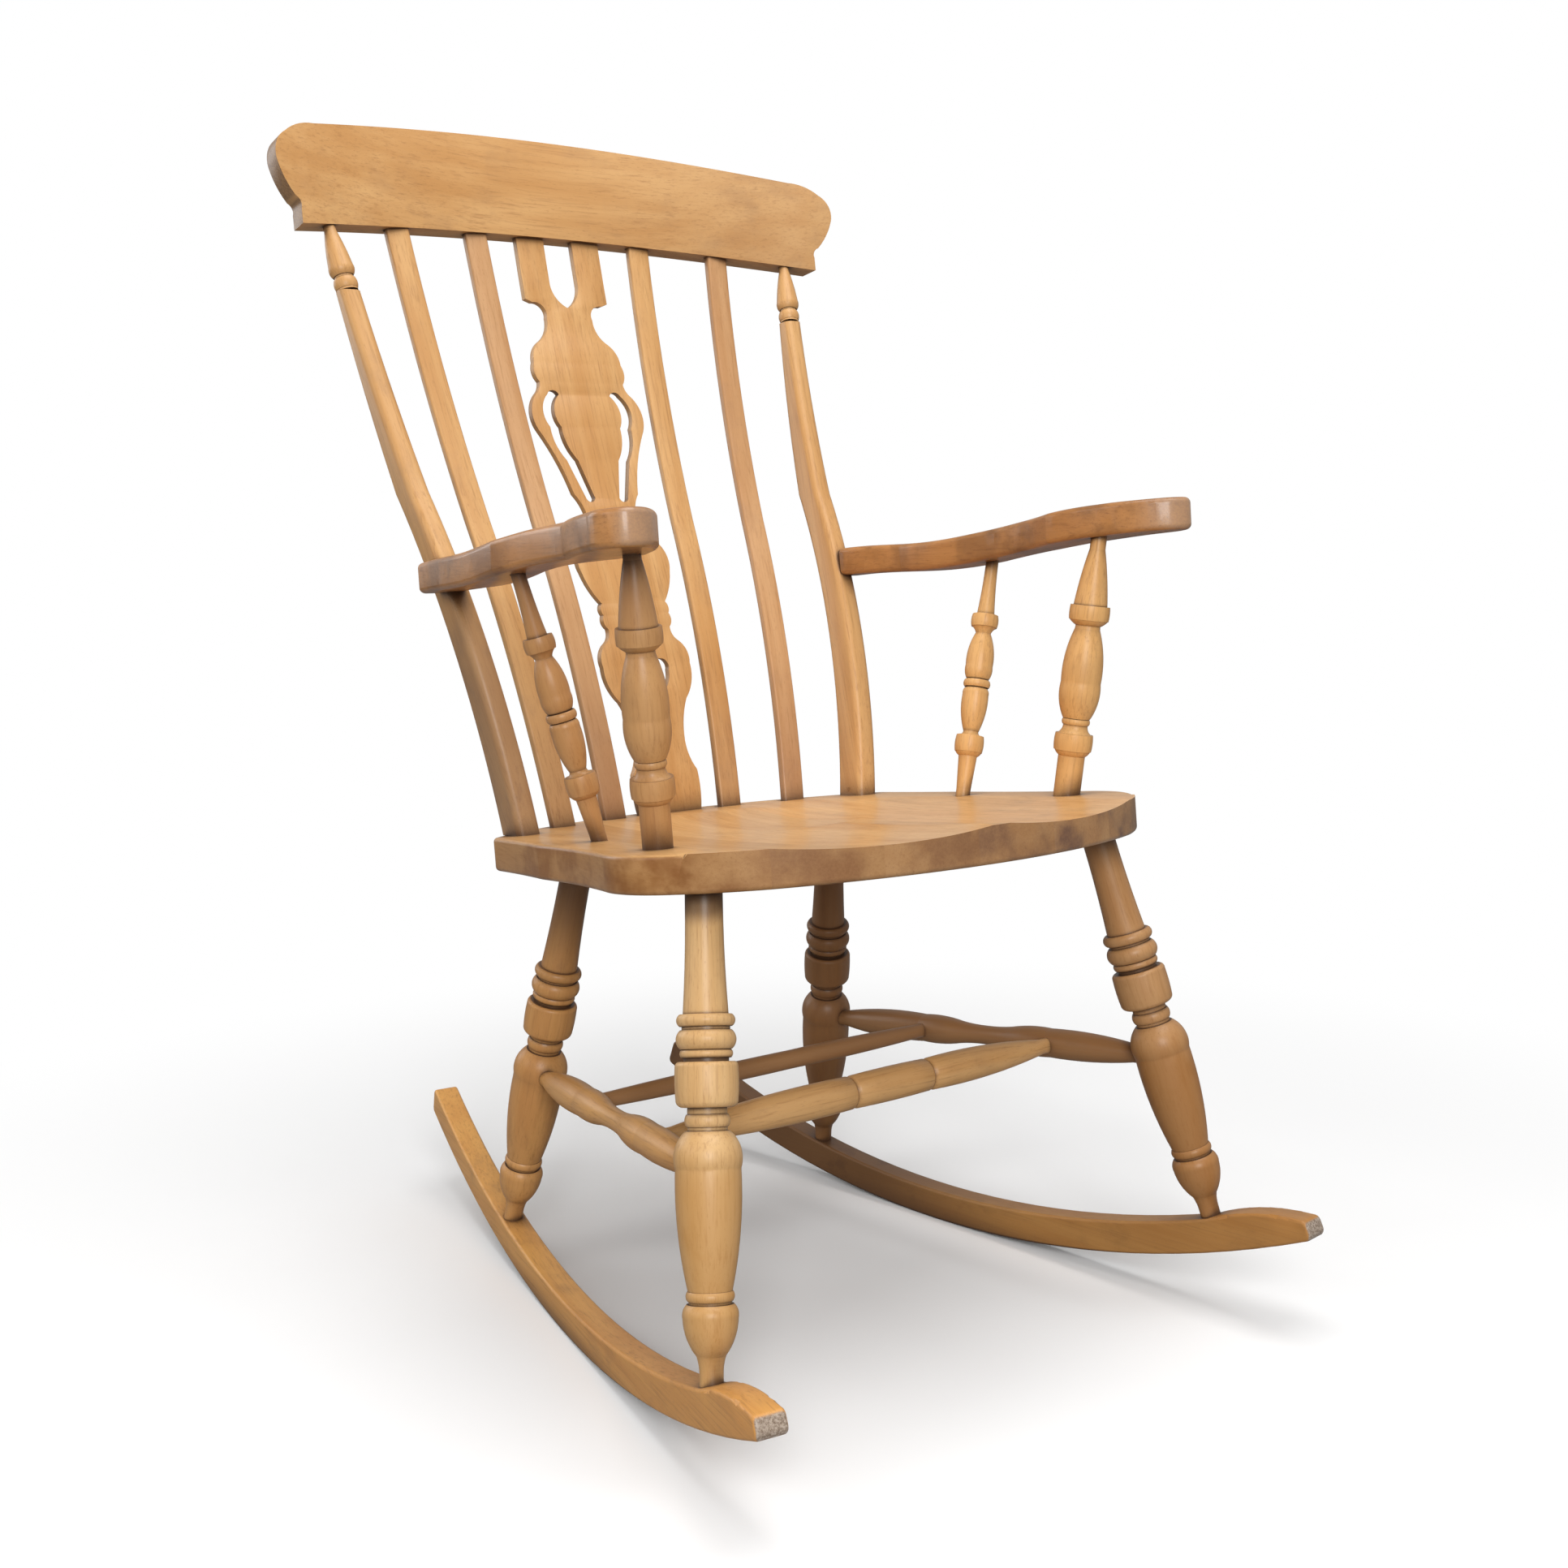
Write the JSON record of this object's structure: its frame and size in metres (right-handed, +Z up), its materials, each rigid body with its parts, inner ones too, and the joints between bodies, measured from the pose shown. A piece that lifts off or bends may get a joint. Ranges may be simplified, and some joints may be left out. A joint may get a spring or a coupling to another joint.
{
  "type": "rocking armchair",
  "caption": "Country rocking armchair in honey-coloured beech with bow rockers, turned legs, saddled plank seat, paddle arms, pierced splat, bent laths and a broad crest rail.",
  "frame": {"origin": "middle of the footprint box, on the floor, chair at rest on its rockers", "axes": "+X across, to the left hand of someone sitting in it, +Y to the back, +Z up"},
  "size_m": [0.6286, 0.8316, 1.107],
  "materials": {
    "seat_wood": "worn satin",
    "arm_wood": "darkened by hands, satin",
    "rocker_wood": "satin",
    "back_wood": "satin",
    "turned_wood": "satin"
  },
  "bodies": {
    "root": {"arm_left": "arm_wood", "arm_right": "arm_wood", "arm_spindle_left": "turned_wood", "arm_spindle_right": "turned_wood", "arm_stump_left": "turned_wood", "arm_stump_right": "turned_wood", "back_lath_1": "back_wood", "back_lath_2": "back_wood", "back_lath_3": "back_wood", "back_lath_4": "back_wood", "back_post_left": "back_wood", "back_post_right": "back_wood", "back_splat": "back_wood", "crest_rail": "back_wood", "front_cross_stretcher": "turned_wood", "front_leg_left": "turned_wood", "front_leg_right": "turned_wood", "rear_cross_stretcher": "turned_wood", "rear_leg_left": "turned_wood", "rear_leg_right": "turned_wood", "rocker_left": "rocker_wood", "rocker_right": "rocker_wood", "seat_board_1": "seat_wood", "seat_board_2": "seat_wood", "seat_board_3": "seat_wood", "seat_board_4": "seat_wood", "seat_board_5": "seat_wood", "seat_board_6": "seat_wood", "side_stretcher_left": "turned_wood", "side_stretcher_right": "turned_wood"}
  },
  "joints": []
}
